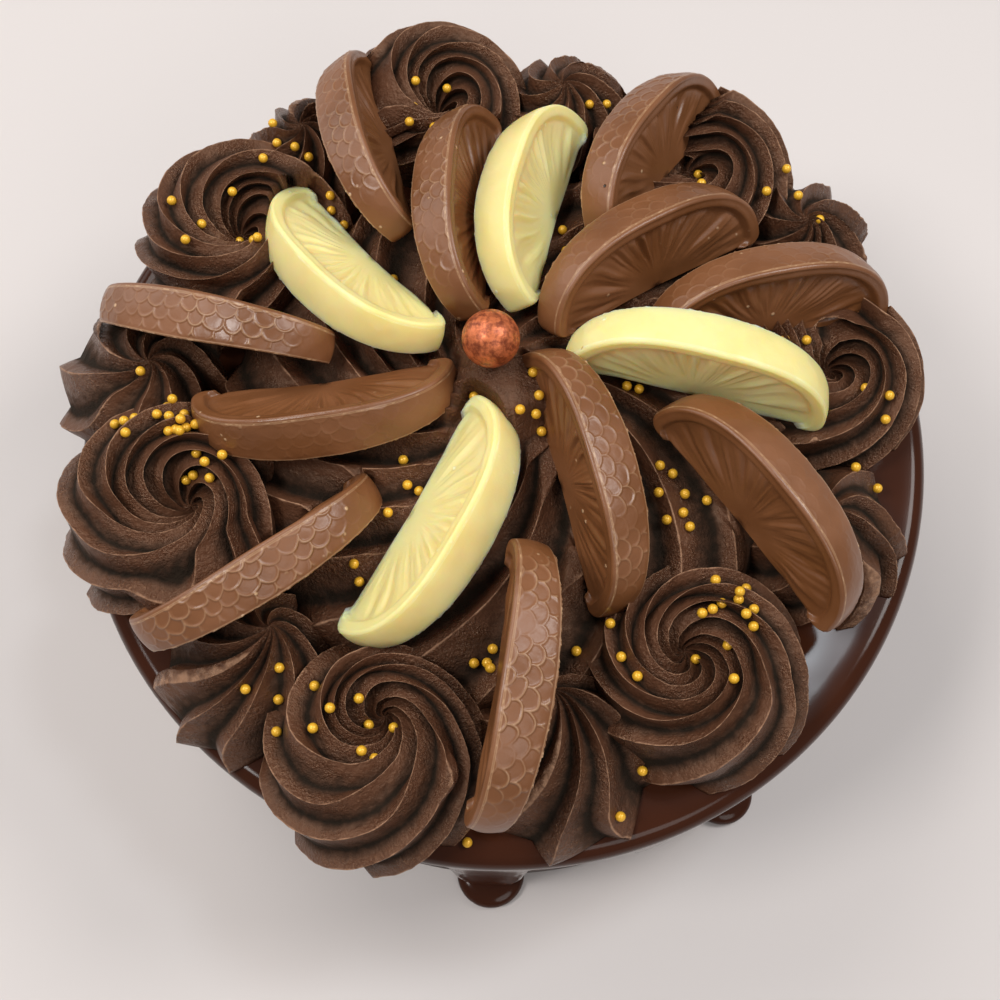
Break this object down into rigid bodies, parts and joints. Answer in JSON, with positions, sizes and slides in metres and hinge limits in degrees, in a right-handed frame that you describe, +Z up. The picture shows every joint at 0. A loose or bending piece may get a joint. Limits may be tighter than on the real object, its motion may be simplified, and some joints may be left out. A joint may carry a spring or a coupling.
{
  "type": "chocolate orange cake",
  "caption": "Round chocolate drip cake topped with piped buttercream swirls, a pinwheel of moulded chocolate orange segments round a bronze ball, and gold sugar beads",
  "frame": {"origin": "Middle of the flat underside, on the surface that the cake stands on", "axes": "+Z up, -Y towards the viewer of the picture, +X to the viewer's right"},
  "size_m": [0.2236, 0.23, 0.1413],
  "materials": {
    "cake_side": "satin chocolate buttercream, scraped smooth",
    "ganache": "glossy set chocolate ganache",
    "milk_chocolate": "satin moulded milk chocolate",
    "white_chocolate": "satin moulded white chocolate, pale cream yellow",
    "buttercream": "soft grainy dark chocolate buttercream, with satin gold sugar beads",
    "bronze": "mottled metallic bronze dust over chocolate"
  },
  "bodies": {
    "root": {"cake_drum": "cake_side", "ganache_glaze": "ganache", "segment_milk_1": "milk_chocolate", "segment_milk_2": "milk_chocolate", "segment_milk_3": "milk_chocolate", "segment_milk_4": "milk_chocolate", "segment_milk_5": "milk_chocolate", "segment_milk_6": "milk_chocolate", "segment_milk_7": "milk_chocolate", "segment_milk_8": "milk_chocolate", "segment_milk_9": "milk_chocolate", "segment_milk_10": "milk_chocolate", "segment_milk_11": "milk_chocolate", "segment_white_1": "white_chocolate", "segment_white_2": "white_chocolate", "segment_white_3": "white_chocolate", "segment_white_4": "white_chocolate", "bronze_ball": "bronze", "centre_mound": "buttercream", "rosette_1": "buttercream", "rosette_2": "buttercream", "rosette_3": "buttercream", "rosette_4": "buttercream", "rosette_5": "buttercream", "rosette_6": "buttercream", "rosette_7": "buttercream", "star_drop_1": "buttercream", "star_drop_2": "buttercream", "star_drop_3": "buttercream", "star_drop_4": "buttercream", "star_drop_5": "buttercream", "star_drop_6": "buttercream", "star_drop_7": "buttercream"}
  },
  "joints": []
}
